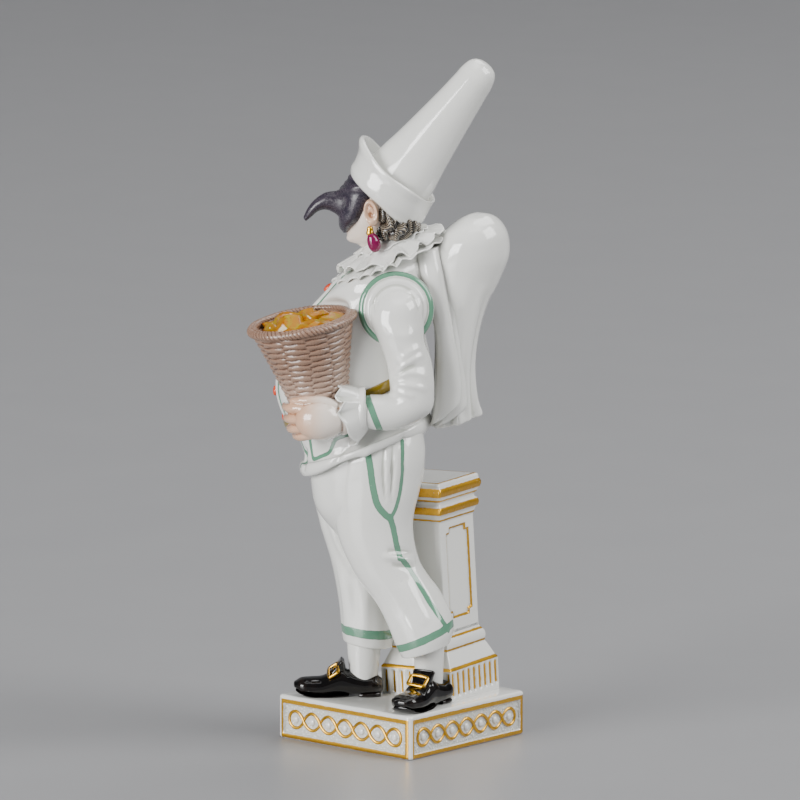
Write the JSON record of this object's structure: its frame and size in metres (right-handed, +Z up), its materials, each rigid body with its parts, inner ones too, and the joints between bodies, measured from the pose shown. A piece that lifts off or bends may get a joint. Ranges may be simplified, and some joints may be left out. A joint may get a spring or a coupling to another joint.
{
  "type": "commedia dell arte figure",
  "caption": "Glazed porcelain figure of a masked zany in a tall hat with a basket, standing before a pedestal on a square slab.",
  "frame": {"origin": "centre of the slab's underside", "axes": "+Z up, X and Y along the slab's sides, the figure faces between -X and -Y"},
  "size_m": [0.0639, 0.0895, 0.2299],
  "materials": {
    "white_glaze": "clear glossy glaze over white porcelain",
    "green_enamel": "sage green brushed enamel, glossy",
    "gilding": "burnished gold brushed over the glaze",
    "black_enamel": "black enamel, very glossy",
    "flesh_enamel": "pale flesh tint over white glaze",
    "basket_brown": "brown pink wash that pools between the wickers",
    "yellow_enamel": "yellow enamel shading to orange, glossy",
    "ruby_enamel": "ruby enamel, very glossy",
    "hair_grey": "fine dark brush strokes over pale grey",
    "mask_dark": "dark purple grey enamel, glossy",
    "red_enamel": "orange red enamel, glossy"
  },
  "bodies": {
    "root": {"porcelain_figure": "white_glaze"}
  },
  "joints": []
}
